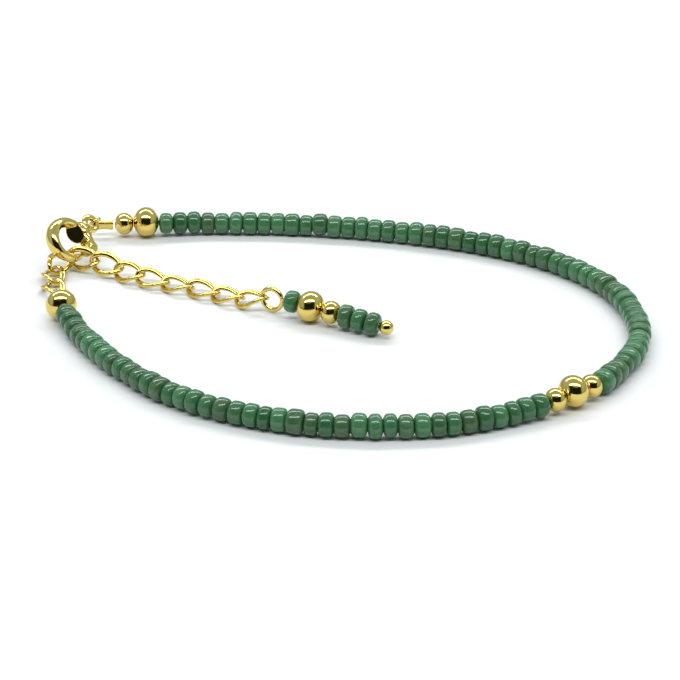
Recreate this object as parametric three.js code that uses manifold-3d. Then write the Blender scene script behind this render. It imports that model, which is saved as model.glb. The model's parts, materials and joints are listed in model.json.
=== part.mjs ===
// A beaded anklet lying fastened on a flat surface: green glass seed beads and gold-coloured metal beads on a
// thread, a lobster clasp, and a curb extension chain that ends in a small drop lying inside the loop.
// Millimetres, +Z up. X runs along the anklet's long side, with the clasp at the low X end.
import * as THREE from 'three';
import { mergeVertices } from 'three/addons/utils/BufferGeometryUtils.js';
import loadManifold from 'manifold-3d';

// Driving dimensions
const SEED = { diameter: 3.0, spread: 0.05, neck: 1.0, shoulder: 0.92, shoulderAt: 0.13, hole: 1.1, sides: 8 };
const SEED_RUNS = {
  back: { count: 51, pitch: 1.929, pieces: 5 },
  front: { count: 40, pitch: 1.9287, pieces: 4 },
};
const LARGE_GOLD = { diameter: 4.1, length: 3.3 };
const SMALL_GOLD = { diameter: 3.0, length: 2.45 };
const GOLD = { hole: 1.2, endFace: 1.8, flatShare: 0.18, sides: 12, gap: 0.14 };
const THREAD_DIAMETER = 0.5;
const CRIMP = { length: 2.3, height: 1.4, thickness: 0.8, bevel: 0.15 };
const WIRE_LOOP = { wire: 0.4, slack: 0.12, spread: 0.23, standOff: 0.3, lead: 0.6, steps: 28, sides: 6 };
const LINK = { length: 5.1, width: 3.2, wire: 0.58, twist: -40, steps: 24, sides: 6 };
const CLASP = {
  ringRadius: 2.6,
  ringRise: 0.25,
  ringTube: 0.55,
  stretch: 1.1,
  thicken: 1.25,
  back: { at: 130, swell: 0.45 },
  pivot: { x: 2.3, y: -1.95 },
  tail: { x: 5.2, y: 0.9, radius: 0.95, tube: 0.42 },
  boss: { radius: 0.95, thickness: 1.7 },
  pin: { radius: 0.28, length: 1.9 },
  lug: { radius: 0.7, thickness: 0.7, slot: 0.9, armThickness: 0.9 },
  tab: { x: 0.65, y: -1.24, radius: 0.55 },
  jointGap: 0.12,
  pinGap: 0.08,
};
const PIN = { wire: 0.62, eye: 2.95, eyeDrop: 0.45, neck: 0.7, ball: 1.9 };
const FACET_STEP = 0.1;

// Places on the surface, measured from the middle of the photographed view
const ROUTE = [
  [-33.4, 36.6], [-26.5, 36.75], [-17.5, 37.6], [-5.4, 37.05], [6.2, 35.1], [17.4, 31.5], [27.1, 26.0],
  [34.4, 18.0], [37.8, 9.0], [37.9, -1.2], [34.1, -9.8], [31.35, -13.75], [28.95, -15.75], [27.1, -17.4],
  [23.7, -19.5], [13.1, -23.7], [1.8, -24.4], [-9.1, -22.1], [-19.1, -16.9], [-26.9, -8.7], [-33.3, 2.0],
  [-35.9, 8.6], [-37.1, 12.5],
];
const STRING_START = 2.55;
const LIFT = { height: 0.48, reach: 4 };
const CLASP_PLACE = { x: -36.2, y: 26.1, z: 3.71 };
const CLASP_AXIS = new THREE.Vector3(0.56, 0.825, 0);
const CLASP_DOWN = new THREE.Vector3(0.54, -0.37, -0.757);
// Each link's middle, with its long axis's heading and rise and its turn about that axis in degrees
const LINKS = [
  { name: 'link_01', x: -38, y: 17.9, z: 0.74, heading: 96.2, rise: -2.5, roll: 4.6 },
  { name: 'link_02', x: -38.26, y: 21.55, z: 0.87, heading: 93.3, rise: 0.5, roll: 8.1 },
  { name: 'link_03', x: -37.53, y: 24.8, z: 1.42, heading: 58.6, rise: 11.9, roll: 30.3 },
  { name: 'link_04', x: -34.52, y: 24.9, z: 1.76, heading: -22.7, rise: -0.4, roll: 58.7 },
  { name: 'link_05', x: -31.22, y: 23.5, z: 1.56, heading: -24.3, rise: -8.3, roll: 44.4 },
  { name: 'link_06', x: -28.13, y: 21.56, z: 1.23, heading: -34, rise: 2.2, roll: 30.2 },
  { name: 'link_07', x: -24.89, y: 19.88, z: 1.08, heading: -21, rise: -5.8, roll: 19.2 },
  { name: 'link_08', x: -21.51, y: 18.28, z: 0.93, heading: -26.5, rise: 1.6, roll: 8 },
  { name: 'link_09', x: -18.04, y: 16.64, z: 0.96, heading: -27.4, rise: -1.4, roll: 14.4 },
  { name: 'link_10', x: -14.74, y: 14.76, z: 0.99, heading: -27, rise: 3.9, roll: 7.9 },
  { name: 'link_11', x: -11.56, y: 12.94, z: 1.33, heading: -24.9, rise: 13.5, roll: 15.4 },
];
const DROP = { x: -3.83, y: 8.96, z: 2.05, heading: -28.1, rise: -2.9 };

const GOLD_MATERIAL = { color: 0xd9b65a, roughness: 0.12, metalness: 1 };
const GLASS_MATERIAL = { color: 0x4f8263, roughness: 0.15, metalness: 0 };
const UP = new THREE.Vector3(0, 0, 1);

const wasm = await loadManifold();
wasm.setup();
const anklet = new THREE.Group();

function addMesh(parent, name, geometry, finish) {
  const mesh = new THREE.Mesh(geometry, new THREE.MeshStandardMaterial(finish));
  mesh.name = name;
  parent.add(mesh);
  return mesh;
}

// Joined corners only: positions, with slivers of no area left out
function weld(geometry) {
  const bare = geometry.clone();
  bare.deleteAttribute('normal');
  bare.deleteAttribute('uv');
  const merged = mergeVertices(bare, 1e-4);
  const index = merged.index.array;
  const kept = [];
  for (let i = 0; i < index.length; i += 3) {
    const [a, b, c] = [index[i], index[i + 1], index[i + 2]];
    if (a !== b && b !== c && c !== a) kept.push(a, b, c);
  }
  merged.setIndex(kept);
  return merged;
}

function solid(geometry) {
  const welded = weld(geometry);
  const triVerts = new Uint32Array(welded.index.array);
  const vertProperties = new Float32Array(welded.attributes.position.array);
  return new wasm.Manifold(new wasm.Mesh({ numProp: 3, vertProperties, triVerts }));
}

function fromSolid(body) {
  const mesh = body.getMesh();
  const geometry = new THREE.BufferGeometry();
  geometry.setAttribute('position', new THREE.BufferAttribute(new Float32Array(mesh.vertProperties), 3));
  geometry.setIndex([...mesh.triVerts]);
  geometry.computeVertexNormals();
  return geometry;
}

// A repeatable value from 0 to 1 for bead number i
function chance(i, salt) {
  const wave = Math.sin(i * 12.9898 + salt * 78.233) * 43758.5453;
  return wave - Math.floor(wave);
}

function seedRadius(i) {
  return (SEED.diameter / 2) * (1 + SEED.spread * (2 * chance(i, 1) - 1));
}

// The thread's plan, and its height: seed beads lie on the surface and rise towards each large gold bead
const plan = new THREE.CatmullRomCurve3(ROUTE.map(([x, y]) => new THREE.Vector3(x, y, 0)));
plan.arcLengthDivisions = 4000;
const planLength = plan.getLength();
const restHeight = (SEED.diameter / 2) * (1 + SEED.spread) + 0.005;

// Every bead on the thread in order, with where its middle lies along the thread
function stringBeads() {
  const beads = [];
  let along = STRING_START;
  const gold = (name, size) => {
    beads.push({ name, size, at: along + size.length / 2 });
    along += size.length + GOLD.gap;
  };
  const seeds = (run) => {
    for (let i = 0; i < run.count; i += 1) {
      beads.push({ seed: true, run, length: run.pitch, at: along + run.pitch / 2 });
      along += run.pitch;
    }
    along += GOLD.gap;
  };
  gold('gold_back_small', SMALL_GOLD);
  gold('gold_back_large', LARGE_GOLD);
  seeds(SEED_RUNS.back);
  gold('gold_side_small_a', SMALL_GOLD);
  gold('gold_side_large', LARGE_GOLD);
  gold('gold_side_small_b', SMALL_GOLD);
  seeds(SEED_RUNS.front);
  gold('gold_front_large', LARGE_GOLD);
  return beads;
}

const beads = stringBeads();
const largeGoldPlaces = beads.filter((bead) => bead.size === LARGE_GOLD).map((bead) => bead.at);

function threadPoint(along) {
  const point = plan.getPointAt(along / planLength);
  const lift = Math.max(...largeGoldPlaces.map((at) => Math.exp(-(((along - at) / LIFT.reach) ** 2))));
  point.z = restHeight + LIFT.height * lift;
  return point;
}

// A lathe whose axis is then laid along the thread; profile points are [radius, distance along the thread]
function latheOnThread(profile, sides) {
  const points = profile.map(([radius, along]) => new THREE.Vector2(radius / Math.cos(Math.PI / sides), along));
  const geometry = new THREE.LatheGeometry(points, sides, Math.PI / sides);
  const position = geometry.attributes.position;
  for (let i = 0; i < position.count; i += 1) {
    const along = position.getY(i);
    const tangent = plan.getTangentAt(along / planLength);
    const side = new THREE.Vector3().crossVectors(tangent, UP);
    const point = threadPoint(along).addScaledVector(side, position.getX(i));
    point.z += position.getZ(i);
    position.setXYZ(i, point.x, point.y, point.z);
  }
  return weld(geometry);
}

// Half outline of a rounded metal bead with a flat belt, as [radius, distance] about its own middle
function goldProfile(size) {
  const half = size.length / 2;
  const radius = size.diameter / 2;
  const bulge = half / Math.sqrt(1 - (GOLD.endFace / size.diameter) ** 2);
  const shares = [-1, -0.8, -0.5, -GOLD.flatShare, GOLD.flatShare, 0.5, 0.8, 1];
  const outer = shares.map((share) => {
    const round = radius * Math.sqrt(1 - ((share * half) / bulge) ** 2);
    return [Math.abs(share) === GOLD.flatShare ? radius : round, share * half];
  });
  const bore = GOLD.hole / 2;
  return [[bore, -half], ...outer, [bore, half], [bore, -half]];
}

// A metal bead keeps its own straight axis, so it is a plain lathe turned onto the thread
function beadLathe(profile, sides) {
  const points = profile.map(([radius, along]) => new THREE.Vector2(radius / Math.cos(Math.PI / sides), along));
  return weld(new THREE.LatheGeometry(points, sides, Math.PI / sides));
}

// Lathe frame: Y along the tangent, Z as near up as it goes
function faceAlong(mesh, point, tangent) {
  const along = tangent.clone().normalize();
  const side = new THREE.Vector3().crossVectors(along, UP).normalize();
  const up = new THREE.Vector3().crossVectors(side, along);
  mesh.setRotationFromMatrix(new THREE.Matrix4().makeBasis(side, along, up));
  mesh.position.copy(point);
}

function addGoldBeads() {
  for (const bead of beads.filter((item) => item.size)) {
    const mesh = addMesh(anklet, bead.name, beadLathe(goldProfile(bead.size), GOLD.sides), GOLD_MATERIAL);
    faceAlong(mesh, threadPoint(bead.at), plan.getTangentAt(bead.at / planLength));
  }
}

// A run of seed beads joined by the thread; the thread reaches on through the gold beads beside the run
function addSeedRun(name, run, firstNumber, threadFrom, threadTo) {
  const thread = THREAD_DIAMETER / 2;
  const neck = SEED.neck / 2;
  const start = run[0].at - run[0].length / 2;
  const last = run[run.length - 1];
  const end = last.at + last.length / 2;
  const profile = [[0, Math.min(threadFrom, start)]];
  if (threadFrom < start) profile.push([thread, threadFrom], [thread, start]);
  profile.push([neck, start]);
  run.forEach((bead, i) => {
    const radius = seedRadius(firstNumber + i);
    const half = bead.length / 2;
    const reach = half - SEED.shoulderAt * bead.length;
    const shoulder = SEED.shoulder * radius;
    profile.push([shoulder, bead.at - reach], [radius, bead.at], [shoulder, bead.at + reach]);
    if (i < run.length - 1) profile.push([neck, bead.at + half]);
  });
  profile.push([neck, end]);
  if (threadTo > end) profile.push([thread, end], [thread, threadTo]);
  profile.push([0, Math.max(threadTo, end)]);
  addMesh(anklet, name, latheOnThread(profile, SEED.sides), GLASS_MATERIAL);
}

function addSeedRuns() {
  const placeOf = (name) => beads.find((bead) => bead.name === name).at;
  const sideMiddle = placeOf('gold_side_large');
  const crimpFace = STRING_START - GOLD.gap;
  const frontMiddle = placeOf('gold_front_large');
  const spans = [
    { title: 'back', run: SEED_RUNS.back, from: crimpFace, to: sideMiddle - GOLD.gap },
    { title: 'front', run: SEED_RUNS.front, from: sideMiddle + GOLD.gap, to: frontMiddle - GOLD.gap },
  ];
  let number = 0;
  for (const { title, run, from, to } of spans) {
    const seeds = beads.filter((bead) => bead.seed && bead.run === run);
    for (let piece = 0; piece < run.pieces; piece += 1) {
      const first = Math.round((piece * run.count) / run.pieces);
      const after = Math.round(((piece + 1) * run.count) / run.pieces);
      const part = seeds.slice(first, after).map((bead) => ({ ...bead }));
      const isFirst = piece === 0;
      const isLast = piece === run.pieces - 1;
      if (!isLast) {
        part[part.length - 1].at -= GOLD.gap / 2;
        part[part.length - 1].length -= GOLD.gap;
      }
      const threadFrom = isFirst ? from : Infinity;
      const threadTo = isLast ? to : -Infinity;
      addSeedRun(`seeds_${title}_${piece + 1}`, part, number + first, threadFrom, threadTo);
    }
    number += run.count;
  }
}

// The oval of a chain link, turned about its long axis as it goes from end to end
class TwistedOval extends THREE.Curve {
  getPoint(t, target = new THREE.Vector3()) {
    const angle = 2 * Math.PI * t;
    const share = Math.cos(angle);
    const across = ((LINK.width - LINK.wire) / 2) * Math.sin(angle);
    const turn = THREE.MathUtils.degToRad(LINK.twist) * share;
    const along = ((LINK.length - LINK.wire) / 2) * share;
    return target.set(along, across * Math.cos(turn), across * Math.sin(turn));
  }
}

function addChain() {
  for (const { name, x, y, z, heading, rise, roll } of LINKS) {
    const tube = weld(new THREE.TubeGeometry(new TwistedOval(), LINK.steps, LINK.wire / 2, LINK.sides, true));
    const mesh = addMesh(anklet, name, tube, GOLD_MATERIAL);
    const angles = [roll, -rise, heading].map(THREE.MathUtils.degToRad);
    mesh.rotation.set(...angles, 'ZYX');
    mesh.position.set(x, y, z);
  }
}

function tubeAlong(points, diameter, steps, sides) {
  const circle = new THREE.Shape();
  circle.absarc(0, 0, diameter / 2, 0, 2 * Math.PI);
  const extrudePath = new THREE.CatmullRomCurve3(points);
  return weld(new THREE.ExtrudeGeometry(circle, { steps, curveSegments: Math.round(sides / 2), extrudePath }));
}

// A doubled wire round a ring's wire and back; it stops just short of the crimp or bead that holds its ends
function wireLoop(hold, holdDirection, holdRadius, end, endDirection) {
  const pull = end.clone().sub(hold);
  const reach = pull.length();
  pull.normalize();
  const across = new THREE.Vector3().crossVectors(holdDirection, pull).normalize();
  const width = holdRadius + WIRE_LOOP.wire / 2 + WIRE_LOOP.slack;
  const place = (out, wide) => hold.clone().addScaledVector(pull, out).addScaledVector(across, wide);
  const side = (sign) => [
    end.clone().addScaledVector(across, sign * WIRE_LOOP.spread),
    end.clone().addScaledVector(endDirection, WIRE_LOOP.lead).addScaledVector(across, sign * WIRE_LOOP.spread),
    place(0.4 * reach, 0.7 * sign * width),
    place(0, sign * width),
    place(-0.72 * width, 0.72 * sign * width),
  ];
  const points = [...side(1), place(-width, 0), ...side(-1).reverse()];
  return tubeAlong(points, WIRE_LOOP.wire, WIRE_LOOP.steps, WIRE_LOOP.sides);
}

// The clasp is made flat: X towards its tail, Y away from its lever, Z out of its face
const claspAlong = CLASP_AXIS.clone().normalize();
const claspOut = new THREE.Vector3().crossVectors(CLASP_DOWN, claspAlong).normalize();
const claspUp = new THREE.Vector3().crossVectors(claspOut, claspAlong);
const claspFrame = new THREE.Matrix4()
  .makeBasis(claspAlong, claspUp, claspOut)
  .setPosition(CLASP_PLACE.x, CLASP_PLACE.y, CLASP_PLACE.z);

function disc(radius, thickness, { x, y }, sides) {
  const geometry = new THREE.CylinderGeometry(radius, radius, thickness, sides);
  return solid(geometry.rotateX(Math.PI / 2).translate(x, y, 0));
}

function slab(corners, thickness) {
  const shape = new THREE.Shape(corners.map(([x, y]) => new THREE.Vector2(x, y)));
  const geometry = new THREE.ExtrudeGeometry(shape, { depth: thickness, bevelEnabled: false });
  return solid(geometry.translate(0, 0, -thickness / 2));
}

function torus({ radius, tube }, segments, sides) {
  return new THREE.TorusGeometry(radius, tube, sides, segments);
}

// The claw's ring is thickest on its back and thin where the links hang from it
function clawRing() {
  const ring = torus({ radius: CLASP.ringRadius, tube: CLASP.ringTube }, 32, 8);
  const position = ring.attributes.position;
  for (let i = 0; i < position.count; i += 1) {
    const spoke = new THREE.Vector2(position.getX(i), position.getY(i));
    const fromBack = spoke.angle() - THREE.MathUtils.degToRad(CLASP.back.at);
    const swell = 1 + CLASP.back.swell * Math.max(0, Math.cos(fromBack));
    spoke.setLength(CLASP.ringRadius + swell * (spoke.length() - CLASP.ringRadius));
    position.setXYZ(i, spoke.x, spoke.y, swell * position.getZ(i));
  }
  return solid(ring.scale(CLASP.stretch, 1, CLASP.thicken).translate(0, CLASP.ringRise, 0));
}

function addClasp() {
  const { pivot, boss, pin, lug, tail, tab } = CLASP;
  const ring = clawRing();
  // The mouth is cut on a slant, so that the lever's tip tucks inside the hook's tip
  const mouth = [[-0.12, -1.16], [1.32, -3.45]];
  const opening = slab([...mouth, [2.2, -3.9], [pivot.x, pivot.y], [1.5, -0.9]], 3);
  // The neck's half outline, as [radius, distance towards the tail]
  const neckOutline = [[0, 2.2], [1.25, 2.4], [1.45, 2.9], [1.1, 3.8], [0.62, 4.5], [0, 4.6]];
  const neck = new THREE.LatheGeometry(neckOutline.map(([r, x]) => new THREE.Vector2(r, x)), 12);
  neck.rotateZ(-Math.PI / 2).scale(1, 1.15, 0.75).translate(0, 0.35, 0);
  const tailRing = torus(tail, 18, 8).translate(tail.x, tail.y, 0);
  const body = ring.subtract(opening)
    .add(solid(neck))
    .add(solid(tailRing))
    .subtract(disc(tail.radius - tail.tube, 2, tail, 12))
    .add(disc(boss.radius, boss.thickness, pivot, 16))
    .subtract(disc(boss.radius + CLASP.jointGap, lug.slot, pivot, 20))
    .add(disc(pin.radius, pin.length, pivot, 8));

  const shift = [0.85 * CLASP.jointGap, 0.53 * CLASP.jointGap];
  const tip = mouth.map(([x, y]) => [x + shift[0], y + shift[1]]);
  const arm = ring.intersect(slab([...tip, [1.9, -3.8], [pivot.x, pivot.y]], lug.armThickness))
    .subtract(disc(boss.radius + FACET_STEP, 3, pivot, 24));
  const fromPivot = (corners) => slab(corners.map(([x, y]) => [pivot.x + x, pivot.y + y]), lug.thickness);
  const strip = fromPivot([[0, 0.4], [0, -0.5], [-1.5, -0.6], [-1.5, 0]]);
  const tabNeck = fromPivot([[-0.35, 0], [0.2, -1.24], [1, -1.1], [0.5, 0.1]]);
  const knob = new THREE.SphereGeometry(tab.radius, 10, 8).translate(pivot.x + tab.x, pivot.y + tab.y, 0);
  const lever = arm.add(disc(lug.radius, lug.thickness, pivot, 16))
    .add(strip)
    .add(tabNeck)
    .add(solid(knob))
    .subtract(disc(pin.radius + CLASP.pinGap, 2, pivot, 10));

  const clasp = new THREE.Group();
  clasp.applyMatrix4(claspFrame);
  addMesh(clasp, 'clasp_body', fromSolid(body), GOLD_MATERIAL);
  addMesh(clasp, 'clasp_lever', fromSolid(lever), GOLD_MATERIAL);
  anklet.add(clasp);
}

function addCrimpAndLoops() {
  const section = new THREE.Shape();
  const round = CRIMP.thickness / 2 - CRIMP.bevel;
  const straight = CRIMP.height / 2 - CRIMP.thickness / 2;
  section.absarc(0, straight, round, 0, Math.PI);
  section.absarc(0, -straight, round, Math.PI, 2 * Math.PI);
  const depth = CRIMP.length - 2 * CRIMP.bevel;
  const bevel = { bevelThickness: CRIMP.bevel, bevelSize: CRIMP.bevel, bevelSegments: 1 };
  const tube = new THREE.ExtrudeGeometry(section, { depth, curveSegments: 5, ...bevel });
  tube.translate(0, 0, -depth / 2).rotateX(Math.PI / 2);
  const crimp = addMesh(anklet, 'crimp', weld(tube), GOLD_MATERIAL);
  const crimpAt = STRING_START - 2 * GOLD.gap - CRIMP.length / 2;
  const crimpPoint = threadPoint(crimpAt);
  const crimpTangent = plan.getTangentAt(crimpAt / planLength);
  faceAlong(crimp, crimpPoint, crimpTangent);
  crimp.position.z = crimpPoint.z;

  const tailMiddle = new THREE.Vector3(CLASP.tail.x, CLASP.tail.y, 0).applyMatrix4(claspFrame);
  const crimpEnd = crimpPoint.addScaledVector(crimpTangent, -CRIMP.length / 2 - WIRE_LOOP.standOff);
  const tailSide = crimpEnd.clone().sub(tailMiddle).projectOnPlane(claspOut).normalize();
  const tailHold = tailMiddle.clone().addScaledVector(tailSide, CLASP.tail.radius);
  const tailDirection = new THREE.Vector3().crossVectors(claspOut, tailSide);
  const away = crimpTangent.clone().negate();
  const claspLoop = wireLoop(tailHold, tailDirection, CLASP.tail.tube, crimpEnd, away);
  addMesh(anklet, 'wire_loop_clasp', claspLoop, GOLD_MATERIAL);

  const bead = beads[beads.length - 1];
  const beadTangent = plan.getTangentAt(bead.at / planLength);
  const beadEnd = threadPoint(bead.at).addScaledVector(beadTangent, LARGE_GOLD.length / 2 + WIRE_LOOP.standOff);
  const firstLink = anklet.getObjectByName('link_01');
  firstLink.updateMatrix();
  const linkHold = new THREE.Vector3(-(LINK.length - LINK.wire) / 2, 0, 0).applyMatrix4(firstLink.matrix);
  const twist = THREE.MathUtils.degToRad(-LINK.twist);
  const linkDirection = new THREE.Vector3(0, Math.cos(twist), Math.sin(twist));
  linkDirection.transformDirection(firstLink.matrix);
  const chainLoop = wireLoop(linkHold, linkDirection, LINK.wire / 2, beadEnd, beadTangent);
  addMesh(anklet, 'wire_loop_chain', chainLoop, GOLD_MATERIAL);
}

// The drop's pin, its axis along local Y from the middle of the large gold bead, with Z nearly up
function addDrop() {
  const heading = THREE.MathUtils.degToRad(DROP.heading);
  const rise = THREE.MathUtils.degToRad(DROP.rise);
  const direction = new THREE.Vector3(
    Math.cos(rise) * Math.cos(heading),
    Math.cos(rise) * Math.sin(heading),
    Math.sin(rise),
  );
  const drop = new THREE.Group();
  faceAlong(drop, new THREE.Vector3(DROP.x, DROP.y, DROP.z), direction);
  anklet.add(drop);

  const seedLength = SEED_RUNS.front.pitch - GOLD.gap;
  const bore = SEED.hole / 2;
  const dropSeed = (name, at, number) => {
    const radius = seedRadius(number);
    const reach = (0.5 - SEED.shoulderAt) * seedLength;
    const half = seedLength / 2;
    const profile = [
      [bore, -half], [bore + 0.1, -half], [SEED.shoulder * radius, -reach], [radius, 0],
      [SEED.shoulder * radius, reach], [bore + 0.1, half], [bore, half], [bore, -half],
    ];
    addMesh(drop, name, beadLathe(profile, SEED.sides), GLASS_MATERIAL).position.y = at;
  };
  const halfLarge = LARGE_GOLD.length / 2 + GOLD.gap;
  const seedCount = SEED_RUNS.back.count + SEED_RUNS.front.count;
  dropSeed('drop_seed_1', -halfLarge - seedLength / 2, seedCount);
  addMesh(drop, 'drop_gold_large', beadLathe(goldProfile(LARGE_GOLD), GOLD.sides), GOLD_MATERIAL);
  const small = addMesh(drop, 'drop_gold_small', beadLathe(goldProfile(SMALL_GOLD), GOLD.sides), GOLD_MATERIAL);
  small.position.y = halfLarge + SMALL_GOLD.length / 2;
  let along = halfLarge + SMALL_GOLD.length + GOLD.gap;
  for (let i = 1; i <= 3; i += 1) {
    dropSeed(`drop_seed_${i + 1}`, along + seedLength / 2, seedCount + i);
    along += seedLength + GOLD.gap;
  }

  const eyeRadius = PIN.eye / 2;
  const shankStart = -halfLarge - seedLength - PIN.neck;
  const eyeMiddle = shankStart - Math.sqrt(eyeRadius ** 2 - PIN.eyeDrop ** 2);
  const ballMiddle = along + PIN.ball / 2;
  const wire = PIN.wire / 2;
  const shank = [[0, shankStart], [wire, shankStart], [wire, ballMiddle], [0, ballMiddle]];
  const shankSolid = solid(new THREE.LatheGeometry(shank.map(([r, y]) => new THREE.Vector2(r, y)), 8));
  const ball = solid(new THREE.SphereGeometry(PIN.ball / 2, 12, 8).translate(0, ballMiddle, 0));
  const eye = torus({ radius: eyeRadius, tube: wire }, 26, 8);
  eye.rotateY(Math.PI / 2).translate(0, eyeMiddle, -PIN.eyeDrop);
  addMesh(drop, 'drop_pin', fromSolid(shankSolid.add(ball).add(solid(eye))), GOLD_MATERIAL);
}

addGoldBeads();
addSeedRuns();
addClasp();
addChain();
addCrimpAndLoops();
addDrop();

// The origin is the middle of the bounding box, on the surface
const box = new THREE.Box3().setFromObject(anklet, true);
const middle = box.getCenter(new THREE.Vector3());
anklet.position.set(-middle.x, -middle.y, -box.min.z);

export default anklet;
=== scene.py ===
# A beaded anklet lying fastened on a white surface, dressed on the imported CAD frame.
# Lengths are millimetres in the plan of the photographed view; meshes are moved into the frame, in metres.
import json

import bpy
import numpy as np
from mathutils import Matrix, Vector

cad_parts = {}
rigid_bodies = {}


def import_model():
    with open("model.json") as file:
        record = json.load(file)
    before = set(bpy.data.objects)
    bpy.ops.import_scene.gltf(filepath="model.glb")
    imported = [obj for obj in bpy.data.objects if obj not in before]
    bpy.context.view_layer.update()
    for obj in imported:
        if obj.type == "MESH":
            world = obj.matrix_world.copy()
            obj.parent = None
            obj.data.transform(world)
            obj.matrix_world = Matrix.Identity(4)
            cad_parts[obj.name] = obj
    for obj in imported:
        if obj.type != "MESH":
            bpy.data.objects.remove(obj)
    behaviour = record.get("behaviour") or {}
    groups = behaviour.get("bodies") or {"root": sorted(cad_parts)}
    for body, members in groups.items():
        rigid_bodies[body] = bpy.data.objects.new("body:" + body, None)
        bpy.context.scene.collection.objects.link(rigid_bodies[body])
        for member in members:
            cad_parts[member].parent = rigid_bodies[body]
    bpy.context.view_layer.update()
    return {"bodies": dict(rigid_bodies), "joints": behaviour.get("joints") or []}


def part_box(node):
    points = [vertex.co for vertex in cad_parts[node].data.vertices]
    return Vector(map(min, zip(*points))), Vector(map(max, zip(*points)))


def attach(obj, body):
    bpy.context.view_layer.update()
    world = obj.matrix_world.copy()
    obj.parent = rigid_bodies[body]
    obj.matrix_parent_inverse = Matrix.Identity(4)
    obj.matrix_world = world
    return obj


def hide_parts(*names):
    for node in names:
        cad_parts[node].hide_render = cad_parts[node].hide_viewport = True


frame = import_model()
MM = 0.001
UP = np.array([0.0, 0.0, 1.0])

# Sizes and places of the CAD model
SEED = dict(diameter=3.0, spread=0.05, hole=0.95)
RUNS = dict(back=dict(count=51, pitch=1.929, pieces=5), front=dict(count=40, pitch=1.9287, pieces=4))
LARGE = dict(diameter=4.1, length=3.3)
SMALL = dict(diameter=3.0, length=2.45)
GOLD_GAP = 0.14
CRIMP = dict(length=2.3, height=1.4, thickness=0.8)
LOOP = dict(wire=0.4, slack=0.12, spread=0.23, stand_off=0.3, lead=0.6, waist_at=0.4, waist=0.7, corner=0.72)
LINK = dict(length=5.1, width=3.2, wire=0.58, twist=-40.0)
PIN = dict(wire=0.62, eye=2.95, ball=1.9, eye_drop=0.45, neck=0.7, eye_sweep=352)
ROUTE = [
    (-33.4, 36.6), (-26.5, 36.75), (-17.5, 37.6), (-5.4, 37.05), (6.2, 35.1), (17.4, 31.5), (27.1, 26.0),
    (34.4, 18.0), (37.8, 9.0), (37.9, -1.2), (34.1, -9.8), (31.35, -13.75), (28.95, -15.75), (27.1, -17.4),
    (23.7, -19.5), (13.1, -23.7), (1.8, -24.4), (-9.1, -22.1), (-19.1, -16.9), (-26.9, -8.7), (-33.3, 2.0),
    (-35.9, 8.6), (-37.1, 12.5),
]
STRING_START = 2.55
LIFT = dict(height=0.48, reach=4.0)
CLASP_PLACE = (-36.2, 26.1, 3.71)
CLASP_AXIS = (0.56, 0.825, 0.0)
CLASP_DOWN = (0.54, -0.37, -0.757)
LINK_COLUMNS = ("node", "x", "y", "z", "heading", "rise", "roll")
LINKS = [
    ("link_01", -38, 17.9, 0.74, 96.2, -2.5, 4.6),
    ("link_02", -38.26, 21.55, 0.87, 93.3, 0.5, 8.1),
    ("link_03", -37.53, 24.8, 1.42, 58.6, 11.9, 30.3),
    ("link_04", -34.52, 24.9, 1.76, -22.7, -0.4, 58.7),
    ("link_05", -31.22, 23.5, 1.56, -24.3, -8.3, 44.4),
    ("link_06", -28.13, 21.56, 1.23, -34, 2.2, 30.2),
    ("link_07", -24.89, 19.88, 1.08, -21, -5.8, 19.2),
    ("link_08", -21.51, 18.28, 0.93, -26.5, 1.6, 8),
    ("link_09", -18.04, 16.64, 0.96, -27.4, -1.4, 14.4),
    ("link_10", -14.74, 14.76, 0.99, -27, 3.9, 7.9),
    ("link_11", -11.56, 12.94, 1.33, -24.9, 13.5, 15.4),
]
DROP = dict(place=(-3.83, 8.96, 2.05), heading=-28.1, rise=-2.9, seed_stretch=1.04, seed_tilt=0.05)
CAMERA = dict(target=(0.0, 0.0, 1.5), distance=424.6, elevation=25.3, focal_px=3333.3, image_px=680)

# Looks that the CAD model leaves out: uneven seeds, rounded gold beads, flattened links and a pinched crimp
SEED_LOOK = dict(
    power=3.3, power_spread=0.4, swell=0.012, edge=0.13, touch=1.05, hung=0.26, side=0.07, tilt=0.055
)
GOLD_LOOK = dict(overlap=0.11, hole=0.55, power=2.05)
LINK_LOOK = dict(narrow=0.30, swell=0.10, thick=0.27)
CRIMP_LOOK = dict(waist_tall=0.86, waist_thick=0.80, rim=0.12, bevel=0.25, corner=0.75)
THREAD_RADIUS = 0.25
PLAIN_TONE = (0.5, 0.5, 0.5)
THREAD_TONE = (0.2, 0.2, 0.2)
GOLD_COLOURS = ((0.72, 0.55, 0.15), (0.80, 0.62, 0.19))
GLASS_COLOURS = dict(
    deep=(0.0225, 0.106, 0.036),
    pale=(0.063, 0.198, 0.085),
    warm=(0.056, 0.102, 0.038),
    veil=(0.113, 0.262, 0.13),
)
PAPER_COLOURS = ((0.80, 0.80, 0.80), (0.82, 0.82, 0.82))

# Light, in metres: two softboxes in a pale tent whose front has a dark opening
SOFTBOX_COLUMNS = ("name", "elevation", "azimuth", "distance", "width", "height", "radiance")
SOFTBOXES = [
    ("front_softbox", 68, 0, 0.6, 1.0, 0.12, 7.6),
    ("back_softbox", 52, 180, 0.6, 1.1, 0.08, 9.4),
]
TENT = dict(low=(0.36, 0.42, 0.43, 1), middle=(0.52, 0.60, 0.61, 1), high=(0.42, 0.49, 0.52, 1))
OPENING = dict(y=(-0.12, -0.30), x=(0.82, 0.66), z=(0.80, 0.70), colour=(0.012, 0.014, 0.012, 1))
FLOOR = dict(half=3.0, drop=0.01)

# One number for each way in which the seeds differ, so that each varies on its own
TRAITS = dict(size=1, power=5, swell=6, tilt_x=7, tilt_z=8, edge=9, shade=11, warmth=12, hung=14, side=15)
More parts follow.
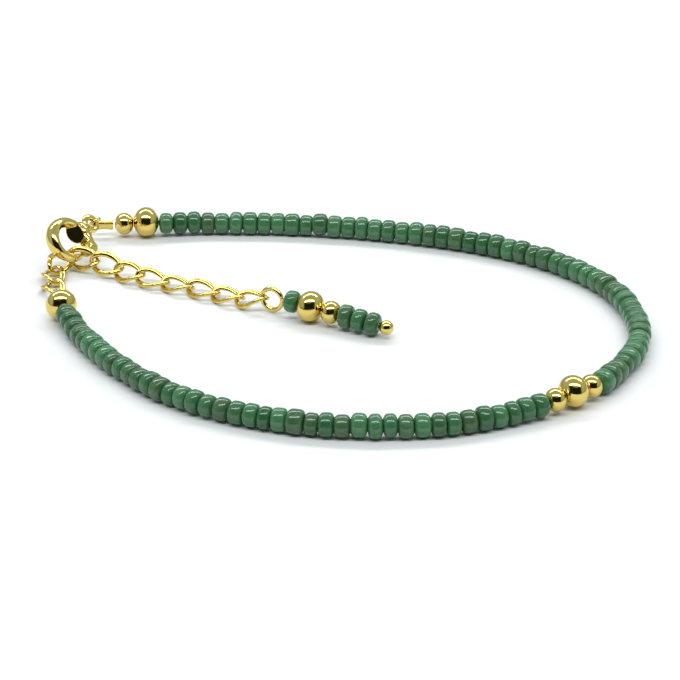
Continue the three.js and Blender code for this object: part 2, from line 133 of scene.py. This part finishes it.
# The root body is the one that no joint moves
MOVED = {joint["child"] for joint in frame["joints"]}
ROOT = next(body for body in frame["bodies"] if body not in MOVED)
LEVER = next(iter(MOVED))


def unit(v):
    v = np.asarray(v, float)
    return v / np.linalg.norm(v)


def chance(i, trait):
    """An even draw from 0 to 1 for bead i, the same in every run."""
    wave = np.sin(i * 12.9898 + TRAITS[trait] * 78.233) * 43758.5453
    return wave - np.floor(wave)


def spread(i, trait):
    return 2 * chance(i, trait) - 1


# The thread and the places of its beads
def through(points, steps):
    """Centripetal Catmull-Rom curve through the points, as evenly stepped samples of each span."""
    pts = [np.asarray(p, float) for p in points]
    pts = [2 * pts[0] - pts[1], *pts, 2 * pts[-1] - pts[-2]]
    out = []
    t = np.linspace(0, 1, steps, endpoint=False)[:, None]
    for p0, p1, p2, p3 in zip(pts, pts[1:], pts[2:], pts[3:]):
        d0, d1, d2 = (max(np.sum((b - a) ** 2) ** 0.25, 1e-4) for a, b in ((p0, p1), (p1, p2), (p2, p3)))
        m1 = ((p1 - p0) / d0 - (p2 - p0) / (d0 + d1) + (p2 - p1) / d1) * d1
        m2 = ((p2 - p1) / d1 - (p3 - p1) / (d1 + d2) + (p3 - p2) / d2) * d1
        out.append(p1 + m1 * t + (3 * p2 - 3 * p1 - 2 * m1 - m2) * t**2 + (2 * p1 - 2 * p2 + m1 + m2) * t**3)
    return np.vstack([*out, pts[-2][None]])


plan = through(ROUTE, 200)
plan_along = np.concatenate([[0], np.cumsum(np.linalg.norm(np.diff(plan, axis=0), axis=1))])
REST = SEED["diameter"] / 2 * (1 + SEED["spread"]) + 0.005


def string_beads():
    beads, along = [], STRING_START

    def gold(node, size):
        nonlocal along
        beads.append(dict(node=node, size=size, at=along + size["length"] / 2))
        along += size["length"] + GOLD_GAP

    def seeds(title):
        nonlocal along
        for _ in range(RUNS[title]["count"]):
            beads.append(dict(run=title, at=along + RUNS[title]["pitch"] / 2))
            along += RUNS[title]["pitch"]
        along += GOLD_GAP

    gold("gold_back_small", SMALL)
    gold("gold_back_large", LARGE)
    seeds("back")
    gold("gold_side_small_a", SMALL)
    gold("gold_side_large", LARGE)
    gold("gold_side_small_b", SMALL)
    seeds("front")
    gold("gold_front_large", LARGE)
    return beads


BEADS = string_beads()
LARGE_AT = np.array([b["at"] for b in BEADS if b.get("size") is LARGE])


def lift_at(along):
    return LIFT["height"] * np.exp(-(((along - LARGE_AT) / LIFT["reach"]) ** 2)).max()


def thread_point(along):
    x, y = (np.interp(along, plan_along, plan[:, k]) for k in (0, 1))
    return np.array([x, y, REST + lift_at(along)])


def thread_tangent(along):
    ahead, behind = thread_point(along + 0.02), thread_point(along - 0.02)
    flat = (ahead - behind) * (1, 1, 0)
    return unit(flat)


# The frame's place, from one bead that both models have
low, high = (np.array(c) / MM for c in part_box("gold_back_large"))
back_large = next(b for b in BEADS if b.get("node") == "gold_back_large")
SHIFT = (low + high) / 2 - thread_point(back_large["at"])


# Mesh making
def grid_faces(rows, cols, close_rows, close_cols):
    r = np.arange(rows if close_rows else rows - 1)
    c = np.arange(cols if close_cols else cols - 1)
    r, c = (a.ravel() for a in np.meshgrid(r, c, indexing="ij"))
    r2, c2 = (r + 1) % rows, (c + 1) % cols
    return np.stack([r * cols + c, r * cols + c2, r2 * cols + c2, r2 * cols + c], 1)


def lathe(profile, sides):
    """A closed ring of profile points [radius, along] turned about Y."""
    profile = np.asarray(profile, float)
    angle = np.linspace(0, 2 * np.pi, sides, endpoint=False)
    radius, along = profile[:, 0][:, None], profile[:, 1][:, None]
    verts = np.stack([radius * np.cos(angle), along + 0 * angle, radius * np.sin(angle)], -1).reshape(-1, 3)
    return verts, grid_faces(len(profile), sides, True, True)


def tube(path, radius, sides, closed=False, squash=1.0, normal=None):
    """A round tube along a path; radius may vary, and squash widens it along the normal."""
    path = np.asarray(path, float)
    radius, squash = (np.broadcast_to(v, len(path)) for v in (radius, squash))
    if closed:
        tangent = np.roll(path, -1, 0) - np.roll(path, 1, 0)
    else:
        tangent = np.gradient(path, axis=0)
    tangent /= np.linalg.norm(tangent, axis=1)[:, None]
    side = np.zeros_like(path)
    if normal is not None:
        side[:] = np.cross(tangent, normal)
    else:
        first = np.cross(tangent[0], UP if abs(tangent[0][2]) < 0.9 else (1.0, 0, 0))
        for i, t in enumerate(tangent):
            first = first - t * (first @ t)
            side[i] = first = first / np.linalg.norm(first)
        if closed:
            gap = side[0] - tangent[-1] * (side[0] @ tangent[-1])
            twist = np.arctan2(np.cross(side[-1], gap) @ tangent[-1], side[-1] @ gap)
            other = np.cross(tangent, side)
            turn = (twist * np.arange(len(path)) / len(path))[:, None]
            side = side * np.cos(turn) + other * np.sin(turn)
    side /= np.linalg.norm(side, axis=1)[:, None]
    other = np.cross(tangent, side)
    angle = np.linspace(0, 2 * np.pi, sides, endpoint=False)
    other = other * squash[:, None]
    ring = side[:, None] * np.cos(angle)[None, :, None] + other[:, None] * np.sin(angle)[None, :, None]
    verts = (path[:, None] + ring * radius[:, None, None]).reshape(-1, 3)
    faces = grid_faces(len(path), sides, closed, True).tolist()
    if not closed:
        last = (len(path) - 1) * sides
        faces.append(list(range(sides)))
        faces.append([last + k for k in reversed(range(sides))])
    return verts, faces


def basis_along(tangent):
    """Columns: side, along, up."""
    along = unit(tangent)
    side = unit(np.cross(along, UP))
    return np.stack([side, along, np.cross(side, along)], 1)


class Build:
    """Several closed shapes joined in one mesh, with a tone colour for each."""

    def __init__(self):
        self.verts, self.faces, self.tones, self.count = [], [], [], 0

    def add(self, shape, basis=None, place=(0, 0, 0), tone=PLAIN_TONE):
        verts, faces = shape
        verts = np.asarray(verts, float)
        if basis is not None:
            verts = verts @ np.asarray(basis).T
        self.verts.append(verts + np.asarray(place, float))
        self.faces += [[int(k) + self.count for k in f] for f in faces]
        self.tones.append(np.broadcast_to(tone, (len(verts), 3)))
        self.count += len(verts)
        return self

    def mesh(self, name, scale=MM, shift=None):
        shift = SHIFT if shift is None else shift
        mesh = bpy.data.meshes.new(name)
        verts = (np.vstack(self.verts) + shift) * scale
        mesh.from_pydata(verts.tolist(), [], self.faces)
        tone = mesh.color_attributes.new("tone", "FLOAT_COLOR", "POINT")
        rgba = np.column_stack([np.vstack(self.tones), np.ones(self.count)])
        tone.data.foreach_set("color", rgba.astype(np.float32).ravel())
        mesh.shade_smooth()
        mesh.update()
        return mesh


def piece(name, mesh, material, body, slot, *nodes):
    obj = bpy.data.objects.new(name, mesh)
    bpy.context.scene.collection.objects.link(obj)
    mesh.materials.append(material)
    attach(obj, body)
    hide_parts(*nodes)


# Materials
def new_material(name):
    material = bpy.data.materials.new(name)
    material.use_nodes = True
    nodes, links = material.node_tree.nodes, material.node_tree.links
    return material, nodes, links, nodes["Principled BSDF"]


def noise(nodes, links, scale_per_mm, detail=2.0):
    coords = nodes.new("ShaderNodeTexCoord")
    node = nodes.new("ShaderNodeTexNoise")
    node.inputs["Scale"].default_value = scale_per_mm / MM
    node.inputs["Detail"].default_value = detail
    links.new(coords.outputs["Object"], node.inputs["Vector"])
    return node


def spread_to(nodes, links, source, low, high):
    node = nodes.new("ShaderNodeMapRange")
    node.inputs["From Min"].default_value = 0.3
    node.inputs["From Max"].default_value = 0.7
    node.inputs["To Min"].default_value = low
    node.inputs["To Max"].default_value = high
    links.new(source, node.inputs["Value"])
    return node.outputs["Result"]


def mix_colour(nodes, links, factor, a, b):
    node = nodes.new("ShaderNodeMix")
    node.data_type = "RGBA"
    for socket, value in ((node.inputs[0], factor), (node.inputs[6], a), (node.inputs[7], b)):
        if isinstance(value, tuple):
            socket.default_value = (*value, 1.0)
        else:
            links.new(value, socket)
    return node.outputs[2]


def gold_material():
    material, nodes, links, shader = new_material("polished_gold_plate")
    shader.inputs["Metallic"].default_value = 1.0
    cloud = noise(nodes, links, 0.9, 3.0)
    base = mix_colour(nodes, links, cloud.outputs["Fac"], *GOLD_COLOURS)
    links.new(base, shader.inputs["Base Color"])
    grain = noise(nodes, links, 14.0, 2.0)
    links.new(spread_to(nodes, links, grain.outputs["Fac"], 0.05, 0.13), shader.inputs["Roughness"])
    bump = nodes.new("ShaderNodeBump")
    bump.inputs["Strength"].default_value = 0.05
    bump.inputs["Distance"].default_value = 0.02 * MM
    links.new(grain.outputs["Fac"], bump.inputs["Height"])
    links.new(bump.outputs["Normal"], shader.inputs["Normal"])
    return material


def glass_material():
    material, nodes, links, shader = new_material("green_seed_glass")
    tone = nodes.new("ShaderNodeVertexColor")
    tone.layer_name = "tone"
    split = nodes.new("ShaderNodeSeparateColor")
    links.new(tone.outputs["Color"], split.inputs["Color"])
    colours = GLASS_COLOURS
    shade = mix_colour(nodes, links, split.outputs["Red"], colours["deep"], colours["pale"])
    warm = mix_colour(nodes, links, split.outputs["Green"], shade, colours["warm"])
    cloud = noise(nodes, links, 0.7, 3.0)
    share = spread_to(nodes, links, cloud.outputs["Fac"], 0.0, 0.25)
    veil = mix_colour(nodes, links, share, warm, colours["veil"])
    links.new(veil, shader.inputs["Base Color"])
    shader.inputs["Roughness"].default_value = 0.05
    shader.inputs["IOR"].default_value = 1.52
    shader.inputs["Subsurface Weight"].default_value = 0.35
    shader.inputs["Subsurface Radius"].default_value = (0.35, 1.0, 0.5)
    shader.inputs["Subsurface Scale"].default_value = 0.9 * MM
    swirl = noise(nodes, links, 1.6, 2.0)
    bump = nodes.new("ShaderNodeBump")
    bump.inputs["Strength"].default_value = 0.03
    bump.inputs["Distance"].default_value = 0.06 * MM
    links.new(swirl.outputs["Fac"], bump.inputs["Height"])
    links.new(bump.outputs["Normal"], shader.inputs["Normal"])
    return material


def paper_material():
    material, nodes, links, shader = new_material("white_surface")
    fine = noise(nodes, links, 0.02, 4.0)
    base = mix_colour(nodes, links, fine.outputs["Fac"], *PAPER_COLOURS)
    links.new(base, shader.inputs["Base Color"])
    shader.inputs["Roughness"].default_value = 0.75
    shader.inputs["Specular IOR Level"].default_value = 0.2
    return material


GOLD = gold_material()
GLASS = glass_material()


# Beads
def oval_profile(radius, half, hole, power, steps):
    """A rounded bead's outline with its bore, as [radius, along]."""
    end = np.arccos(min(1.0, (hole / radius) ** (power / 2)))
    turn = np.linspace(-end, end, steps)
    across = radius * np.cos(turn) ** (2 / power)
    along = half * np.sign(turn) * np.abs(np.sin(turn)) ** (2 / power)
    bore = [(hole * 0.93, along[-1] * k) for k in (0.97, 0.5, -0.5, -0.97)]
    return np.vstack([np.stack([across, along], 1), bore])


def seed_radius(i):
    return SEED["diameter"] / 2 * (1 + SEED["spread"] * spread(i, "size"))


def seed_shape(i, length):
    power = SEED_LOOK["power"] + SEED_LOOK["power_spread"] * spread(i, "power")
    verts, faces = lathe(oval_profile(seed_radius(i), length / 2, SEED["hole"] / 2, power, 21), 28)
    around = np.arctan2(verts[:, 2], verts[:, 0])
    swell = 1 + SEED_LOOK["swell"] * np.cos(2 * around + 6.3 * chance(i, "swell"))
    return verts * np.stack([swell, np.ones_like(swell), swell], 1), faces


def seed_tone(i):
    """Red runs from deep to pale, and green warms about two beads in five."""
    return (chance(i, "shade"), 0.75 * max(0.0, chance(i, "warmth") - 0.6) / 0.4, 0.0)


def tilted(basis, i, amount):
    about_x = Matrix.Rotation(amount * spread(i, "tilt_x"), 3, "X")
    about_z = Matrix.Rotation(amount * spread(i, "tilt_z"), 3, "Z")
    return basis @ np.array(about_x @ about_z)


def add_seed(build, i, start, stop):
    """A seed between two places on the thread; about one in four hangs a little high on it."""
    at = (start + stop) / 2
    place = thread_point(at)
    hung = SEED_LOOK["hung"] * max(0.0, chance(i, "hung") - 0.75) / 0.25
    place[2] = lift_at(at) + seed_radius(i) + 0.01 + hung
    basis = basis_along(thread_tangent(at))
    place += basis[:, 0] * SEED_LOOK["side"] * spread(i, "side")
    shape = seed_shape(i, SEED_LOOK["touch"] * (stop - start))
    build.add(shape, tilted(basis, i, SEED_LOOK["tilt"]), place, seed_tone(i))


def add_seed_runs():
    number = 0
    for title, run in RUNS.items():
        first_place = next(b["at"] for b in BEADS if b.get("run") == title)
        pitch, count = run["pitch"], run["count"]
        edges = [first_place - pitch / 2 + k * pitch for k in range(count + 1)]
        for k in range(1, count):
            edges[k] += SEED_LOOK["edge"] * spread(number + k, "edge")
        for part in range(run["pieces"]):
            first, after = (int(np.floor(p * count / run["pieces"] + 0.5)) for p in (part, part + 1))
            build = Build()
            for k in range(first, after):
                add_seed(build, number + k, edges[k], edges[k + 1])
            span = np.linspace(edges[first] - 0.3, edges[after] + 0.3, 30)
            build.add(tube([thread_point(s) for s in span], THREAD_RADIUS, 8), tone=THREAD_TONE)
            node = f"seeds_{title}_{part + 1}"
            piece(f"{node}_beads", build.mesh(node), GLASS, ROOT, "seed_glass", node)
        number += count
    return number


def gold_shape(size):
    half = size["length"] / 2 + GOLD_LOOK["overlap"]
    return lathe(oval_profile(size["diameter"] / 2, half, GOLD_LOOK["hole"], GOLD_LOOK["power"], 33), 64)


def add_gold_beads():
    for bead in BEADS:
        if "node" not in bead:
            continue
        basis = basis_along(thread_tangent(bead["at"]))
        build = Build().add(gold_shape(bead["size"]), basis, thread_point(bead["at"]))
        piece(f"{bead['node']}_bead", build.mesh(bead["node"]), GOLD, ROOT, "gold_metal", bead["node"])


# Chain
def link_matrix(row):
    angles = np.radians([row["heading"], -row["rise"], row["roll"]])
    turn = [Matrix.Rotation(a, 3, axis) for a, axis in zip(angles, "ZYX")]
    return np.array(turn[0] @ turn[1] @ turn[2]), np.array([row["x"], row["y"], row["z"]])


def link_wire(steps):
    """A flattened wire round a twisted oval: broadest along the sides, narrow where the next link sits."""
    angle = np.linspace(0, 2 * np.pi, steps, endpoint=False)
    share = np.cos(angle)
    across = (LINK["width"] - LINK["wire"]) / 2 * np.sin(angle)
    turn = np.radians(LINK["twist"]) * share
    along = (LINK["length"] - LINK["wire"]) / 2 * share
    path = np.stack([along, across * np.cos(turn), across * np.sin(turn)], 1)
    normal = np.stack([0 * turn, -np.sin(turn), np.cos(turn)], 1)
    broad = LINK_LOOK["narrow"] + LINK_LOOK["swell"] * np.sin(angle) ** 2
    return tube(path, broad, 16, closed=True, squash=LINK_LOOK["thick"] / broad, normal=normal)


LINK_ROWS = [dict(zip(LINK_COLUMNS, row)) for row in LINKS]


def add_chain():
    wire = link_wire(80)
    for row in LINK_ROWS:
        basis, place = link_matrix(row)
        build = Build().add(wire, basis, place)
        piece(f"{row['node']}_wire", build.mesh(row["node"]), GOLD, ROOT, "gold_metal", row["node"])


# Clasp
clasp_along = unit(CLASP_AXIS)
clasp_out = unit(np.cross(CLASP_DOWN, clasp_along))
CLASP_BASIS = np.stack([clasp_along, np.cross(clasp_out, clasp_along), clasp_out], 1)
# In the clasp's own axes: x towards the tail, y across the claw, z out of its flat side; angles in degrees
RING = dict(x=2.86, y=2.6, rise=0.25, tube=0.55, thicken=1.4, start=-22, stop=278)
SWELL = dict(at=130, amount=0.45)
TAPER = dict(start=240, amount=0.45)
PIVOT = (2.3, -1.95)
TAIL = dict(x=5.2, y=0.9, radius=0.95, tube=0.42)
NECK = dict(place=(3.1, 0.35, 0), size=(1.1, 1.55, 0.95))
SHOULDER = dict(place=(3.9, 0.6, 0), size=(0.75, 0.75, 0.6))
CHEEK = dict(radius=0.92, inner=0.47, outer=0.85, root=(2.75, -0.9), root_size=(0.6, 1.0, 0.3))
RIVET = dict(radius=0.3, half=0.95)
ARM = dict(start=286, stop=316, point=0.8, heel=0.6, flat=0.7)
LUG = dict(radius=0.72, half=0.36)
TAB = dict(place=(PIVOT[0] + 0.65, PIVOT[1] - 1.24, 0), size=(0.55, 0.52, 0.58))
TAB_NECK = dict(start=(PIVOT[0] + 0.1, PIVOT[1] - 0.3, 0), root=0.42, end=0.3)
# The hollow's back wall leans, facing the claw's point
WEB = dict(place=(1.7, 0.75, -0.05), half=(1.1, 1.5), thickness=0.22)
WEB_BASIS = np.stack([(0.68, 0, 0.733), (0, 1, 0), (-0.733, 0, 0.68)], 1)


def ring_points(start, stop, steps):
    a = np.radians(np.linspace(start, stop, steps))
    return np.stack([RING["x"] * np.cos(a), RING["rise"] + RING["y"] * np.sin(a), 0 * a], 1), a


def ball(place, size, steps=20):
    turn = np.linspace(-np.pi / 2 + 0.05, np.pi / 2 - 0.05, steps)
    path = np.stack([0 * turn, np.sin(turn) * size[1], 0 * turn], 1)
    verts, faces = tube(path, np.cos(turn), 24, normal=UP)
    return verts * (size[0], 1, size[2]) + np.array(place), faces


def circle(middle, radius, steps):
    turn = np.linspace(0, 2 * np.pi, steps, endpoint=False)
    return np.array([*middle, 0]) + radius * np.stack([np.cos(turn), np.sin(turn), 0 * turn], 1)


def disc(middle, radius, low, high, sides=40):
    rim = circle(middle, radius, sides)
    verts = np.vstack([rim + (0, 0, low), rim + (0, 0, high)])
    faces = grid_faces(2, sides, False, True).tolist()
    return verts, faces + [list(range(sides))[::-1], list(range(sides, 2 * sides))]


def web(half, thickness):
    """A flat oval web that closes the back of the clasp's hollow."""
    verts, faces = disc((0, 0), 1, -thickness / 2, thickness / 2)
    return verts * (half[0], half[1], 1), faces


def melt(build, voxel, rounds):
    """Joins closed shapes into one smooth casting, in millimetres, and moves it into the frame."""
    rough = bpy.data.objects.new("rough", build.mesh("rough", scale=1.0, shift=np.zeros(3)))
    bpy.context.scene.collection.objects.link(rough)
    remesh = rough.modifiers.new("remesh", "REMESH")
    remesh.mode = "VOXEL"
    remesh.voxel_size = voxel
    remesh.use_smooth_shade = True
    smooth = rough.modifiers.new("smooth", "SMOOTH")
    smooth.factor = 0.5
    smooth.iterations = rounds
    bpy.context.view_layer.update()
    mesh = bpy.data.meshes.new_from_object(rough.evaluated_get(bpy.context.evaluated_depsgraph_get()))
    bpy.data.objects.remove(rough)
    place = Matrix.Translation(Vector(SHIFT + np.array(CLASP_PLACE)) * MM)
    mesh.transform(place @ Matrix(CLASP_BASIS.tolist()).to_4x4() @ Matrix.Scale(MM, 4))
    mesh.shade_smooth()
    return mesh


def add_clasp_body():
    path, a = ring_points(RING["start"], RING["stop"], 120)
    swell = 1 + SWELL["amount"] * np.clip(np.cos(a - np.radians(SWELL["at"])), 0, 1)
    past = np.clip((np.degrees(a) - TAPER["start"]) / (RING["stop"] - TAPER["start"]), 0, 1)
    radius = RING["tube"] * swell * (1 - TAPER["amount"] * past**2)
    tail_path = circle((TAIL["x"], TAIL["y"]), TAIL["radius"], 48)
    body = Build()
    body.add(tube(path, radius, 24, squash=RING["thicken"], normal=UP))
    body.add(tube(tail_path, TAIL["tube"], 18, closed=True, normal=UP))
    body.add(ball(**NECK))
    body.add(ball(**SHOULDER))
    body.add(web(WEB["half"], WEB["thickness"]), WEB_BASIS, WEB["place"])
    for low, high in ((-CHEEK["outer"], -CHEEK["inner"]), (CHEEK["inner"], CHEEK["outer"])):
        body.add(disc(PIVOT, CHEEK["radius"], low, high))
        body.add(ball((*CHEEK["root"], (low + high) / 2), CHEEK["root_size"]))
    body.add(disc(PIVOT, RIVET["radius"], -RIVET["half"], RIVET["half"]))
    piece("clasp_casting", melt(body, 0.06, 6), GOLD, ROOT, "gold_metal", "clasp_body")


def add_clasp_lever():
    arm, _ = ring_points(ARM["start"], ARM["stop"], 24)
    radius = RING["tube"] * np.linspace(ARM["point"], ARM["heel"], 24)
    tab_path = np.linspace(TAB_NECK["start"], TAB["place"], 12)
    lever = Build()
    lever.add(tube(arm, radius, 18, squash=ARM["flat"], normal=UP))
    lever.add(disc(PIVOT, LUG["radius"], -LUG["half"], LUG["half"]))
    lever.add(tube(tab_path, np.linspace(TAB_NECK["root"], TAB_NECK["end"], 12), 14))
    lever.add(ball(**TAB))
    piece("clasp_thumb_lever", melt(lever, 0.05, 5), GOLD, LEVER, "gold_metal", "clasp_lever")


# Crimp and wire loops
def wire_loop(hold, hold_direction, hold_radius, end, end_direction):
    pull = end - hold
    reach = np.linalg.norm(pull)
    pull = pull / reach
    across = unit(np.cross(hold_direction, pull))
    width = hold_radius + LOOP["wire"] / 2 + LOOP["slack"]

    def side(sign):
        apart = across * sign * LOOP["spread"]
        return [
            end + apart,
            end + end_direction * LOOP["lead"] + apart,
            hold + pull * LOOP["waist_at"] * reach + across * LOOP["waist"] * sign * width,
            hold + across * sign * width,
            hold - pull * LOOP["corner"] * width + across * LOOP["corner"] * sign * width,
        ]

    points = [*side(1), hold - pull * width, *side(-1)[::-1]]
    return tube(through(points, 10), LOOP["wire"] / 2, 12)


def crimp_shape(sides):
    """A tube squeezed at its waist, with bevelled rims."""
    share = np.linspace(-1, 1, 25)
    rim = np.clip((1 - np.abs(share)) / CRIMP_LOOK["rim"], 0, 1) ** 0.5

    def pinched(size, waist):
        bevel = CRIMP_LOOK["bevel"]
        return size / 2 * (waist + (1 - waist) * share**2) * (1 - bevel + bevel * rim)

    tall = pinched(CRIMP["height"], CRIMP_LOOK["waist_tall"])
    thick = pinched(CRIMP["thickness"], CRIMP_LOOK["waist_thick"])
    angle = np.linspace(0, 2 * np.pi, sides, endpoint=False)
    around = [np.sign(f(angle)) * np.abs(f(angle)) ** CRIMP_LOOK["corner"] for f in (np.cos, np.sin)]
    along = share[:, None] * CRIMP["length"] / 2 + 0 * angle
    verts = np.stack([thick[:, None] * around[0], along, tall[:, None] * around[1]], -1).reshape(-1, 3)
    faces = grid_faces(len(share), sides, False, True).tolist()
    last = (len(share) - 1) * sides
    return verts, faces + [list(range(sides)), [last + k for k in reversed(range(sides))]]


def add_crimp_and_loops():
    at = STRING_START - 2 * GOLD_GAP - CRIMP["length"] / 2
    tangent = thread_tangent(max(at, 0.1))
    middle = thread_point(at)
    build = Build().add(crimp_shape(28), basis_along(tangent), middle)
    piece("crimp_tube", build.mesh("crimp"), GOLD, ROOT, "gold_metal", "crimp")

    crimp_end = middle - tangent * (CRIMP["length"] / 2 + LOOP["stand_off"])
    tail_middle = CLASP_BASIS @ np.array([TAIL["x"], TAIL["y"], 0]) + CLASP_PLACE
    towards = crimp_end - tail_middle
    towards = unit(towards - clasp_out * (towards @ clasp_out))
    hold = tail_middle + towards * TAIL["radius"]
    loop = wire_loop(hold, np.cross(clasp_out, towards), TAIL["tube"], crimp_end, -tangent)
    mesh = Build().add(loop).mesh("wire_loop_clasp")
    piece("wire_loop_clasp_wire", mesh, GOLD, ROOT, "gold_metal", "wire_loop_clasp")

    bead = BEADS[-1]
    tangent = thread_tangent(bead["at"])
    bead_end = thread_point(bead["at"]) + tangent * (LARGE["length"] / 2 + LOOP["stand_off"])
    basis, place = link_matrix(LINK_ROWS[0])
    hold = basis @ np.array([-(LINK["length"] - LINK["wire"]) / 2, 0, 0]) + place
    twist = np.radians(-LINK["twist"])
    direction = basis @ np.array([0, np.cos(twist), np.sin(twist)])
    loop = wire_loop(hold, direction, LINK["wire"] / 2, bead_end, tangent)
    mesh = Build().add(loop).mesh("wire_loop_chain")
    piece("wire_loop_chain_wire", mesh, GOLD, ROOT, "gold_metal", "wire_loop_chain")


# Drop
def add_drop(number):
    heading, rise = np.radians([DROP["heading"], DROP["rise"]])
    axis = np.array([np.cos(rise) * np.cos(heading), np.cos(rise) * np.sin(heading), np.sin(rise)])
    basis, place = basis_along(axis), np.array(DROP["place"])
    seed_length = RUNS["front"]["pitch"] - GOLD_GAP
    half_large = LARGE["length"] / 2 + GOLD_GAP

    def on_pin(node, shape, along, material, slot, tone, tilt_number=None):
        turned = basis if tilt_number is None else tilted(basis, tilt_number, DROP["seed_tilt"])
        build = Build().add(shape, turned, place + axis * along, tone)
        piece(f"{node}_bead", build.mesh(node), material, ROOT, slot, node)

    def seed(k, along):
        i = number + k
        shape = seed_shape(i, seed_length * DROP["seed_stretch"])
        on_pin(f"drop_seed_{k + 1}", shape, along, GLASS, "seed_glass", seed_tone(i), i)

    seed(0, -half_large - seed_length / 2)
    on_pin("drop_gold_large", gold_shape(LARGE), 0, GOLD, "gold_metal", PLAIN_TONE)
    small_at = half_large + SMALL["length"] / 2
    on_pin("drop_gold_small", gold_shape(SMALL), small_at, GOLD, "gold_metal", PLAIN_TONE)
    along = half_large + SMALL["length"] + GOLD_GAP
    for k in (1, 2, 3):
        seed(k, along + seed_length / 2)
        along += seed_length + GOLD_GAP

    radius = PIN["eye"] / 2
    start = -half_large - seed_length - PIN["neck"]
    middle = start - np.sqrt(radius**2 - PIN["eye_drop"] ** 2)
    ball_at = along + PIN["ball"] / 2
    meet = np.arctan2(PIN["eye_drop"], start - middle)
    turn = np.linspace(meet, meet - np.radians(PIN["eye_sweep"]), 90)
    eye = np.stack([0 * turn, middle + radius * np.cos(turn), -PIN["eye_drop"] + radius * np.sin(turn)], 1)
    shank = np.stack([np.zeros(30), np.linspace(ball_at, start, 30), np.zeros(30)], 1)
    wire = tube(np.vstack([shank[:-1], eye]), PIN["wire"] / 2, 16, normal=np.array([1.0, 0, 0]))
    build = Build().add(wire, basis, place)
    build.add(ball((0, ball_at, 0), (PIN["ball"] / 2,) * 3, 28), basis, place)
    piece("drop_pin_wire", build.mesh("drop_pin"), GOLD, ROOT, "gold_metal", "drop_pin")


# Surface, light and camera
def add_stage():
    mesh = bpy.data.meshes.new("floor")
    half = FLOOR["half"]
    corners = [(-half, -half, 0), (half, -half, 0), (half, half, 0), (-half, half, 0)]
    mesh.from_pydata(corners, [], [(0, 1, 2, 3)])
    mesh.materials.append(paper_material())
    floor = bpy.data.objects.new("floor", mesh)
    floor.location.z = -FLOOR["drop"] * MM
    bpy.context.scene.collection.objects.link(floor)


def add_softbox(name, elevation, azimuth, distance, width, height, radiance):
    data = bpy.data.lights.new(name, "AREA")
    data.shape = "RECTANGLE"
    data.size, data.size_y = width, height
    data.energy = radiance * np.pi * width * height
    lamp = bpy.data.objects.new(name, data)
    e, a = np.radians([elevation, azimuth])
    away = Vector((np.cos(e) * np.sin(a), -np.cos(e) * np.cos(a), np.sin(e)))
    lamp.location = away * distance
    lamp.rotation_euler = away.to_track_quat("Z", "Y").to_euler()
    bpy.context.scene.collection.objects.link(lamp)


def add_world():
    """A pale tent with a dark opening on the viewer's side."""
    world = bpy.data.worlds.new("tent")
    bpy.context.scene.world = world
    world.use_nodes = True
    nodes, links = world.node_tree.nodes, world.node_tree.links
    coords = nodes.new("ShaderNodeTexCoord")
    split = nodes.new("ShaderNodeSeparateXYZ")
    links.new(coords.outputs["Generated"], split.inputs["Vector"])

    def ramp(source, start, stop):
        node = nodes.new("ShaderNodeMapRange")
        node.interpolation_type = "SMOOTHSTEP"
        node.inputs["From Min"].default_value = start
        node.inputs["From Max"].default_value = stop
        links.new(source, node.inputs["Value"])
        return node.outputs["Result"]

    def math(operation, *values):
        node = nodes.new("ShaderNodeMath")
        node.operation = operation
        for value, socket in zip(values, node.inputs):
            links.new(value, socket)
        return node.outputs[0]

    wide = math("ABSOLUTE", split.outputs["X"])
    front = math("MULTIPLY", ramp(split.outputs["Y"], *OPENING["y"]), ramp(wide, *OPENING["x"]))
    opening = math("MULTIPLY", front, ramp(split.outputs["Z"], *OPENING["z"]))
    walls = nodes.new("ShaderNodeValToRGB")
    stops = walls.color_ramp.elements
    stops[0].color, stops[1].color = TENT["low"], TENT["high"]
    stops.new(0.5).color = TENT["middle"]
    links.new(split.outputs["Z"], walls.inputs["Fac"])
    mixed = nodes.new("ShaderNodeMix")
    mixed.data_type = "RGBA"
    links.new(opening, mixed.inputs[0])
    links.new(walls.outputs["Color"], mixed.inputs[6])
    mixed.inputs[7].default_value = OPENING["colour"]
    links.new(mixed.outputs[2], nodes["Background"].inputs["Color"])
    nodes["Background"].inputs["Strength"].default_value = 1.0


def add_camera():
    data = bpy.data.cameras.new("camera")
    data.sensor_width = 36.0
    data.lens = 36.0 * CAMERA["focal_px"] / CAMERA["image_px"]
    data.clip_start, data.clip_end = 0.01, 20.0
    camera = bpy.data.objects.new("camera", data)
    e = np.radians(CAMERA["elevation"])
    back = np.array([0, -np.cos(e), np.sin(e)])
    spot = np.array(CAMERA["target"]) + SHIFT + back * CAMERA["distance"]
    camera.location = Vector(spot) * MM
    camera.rotation_euler = (np.pi / 2 - e, 0, 0)
    bpy.context.scene.collection.objects.link(camera)
    bpy.context.scene.camera = camera


add_camera()
seed_count = add_seed_runs()
add_gold_beads()
add_chain()
add_clasp_body()
add_clasp_lever()
add_crimp_and_loops()
add_drop(seed_count)
add_stage()
add_world()
for row in SOFTBOXES:
    add_softbox(**dict(zip(SOFTBOX_COLUMNS, row)))
bpy.context.scene.view_settings.view_transform = "Standard"
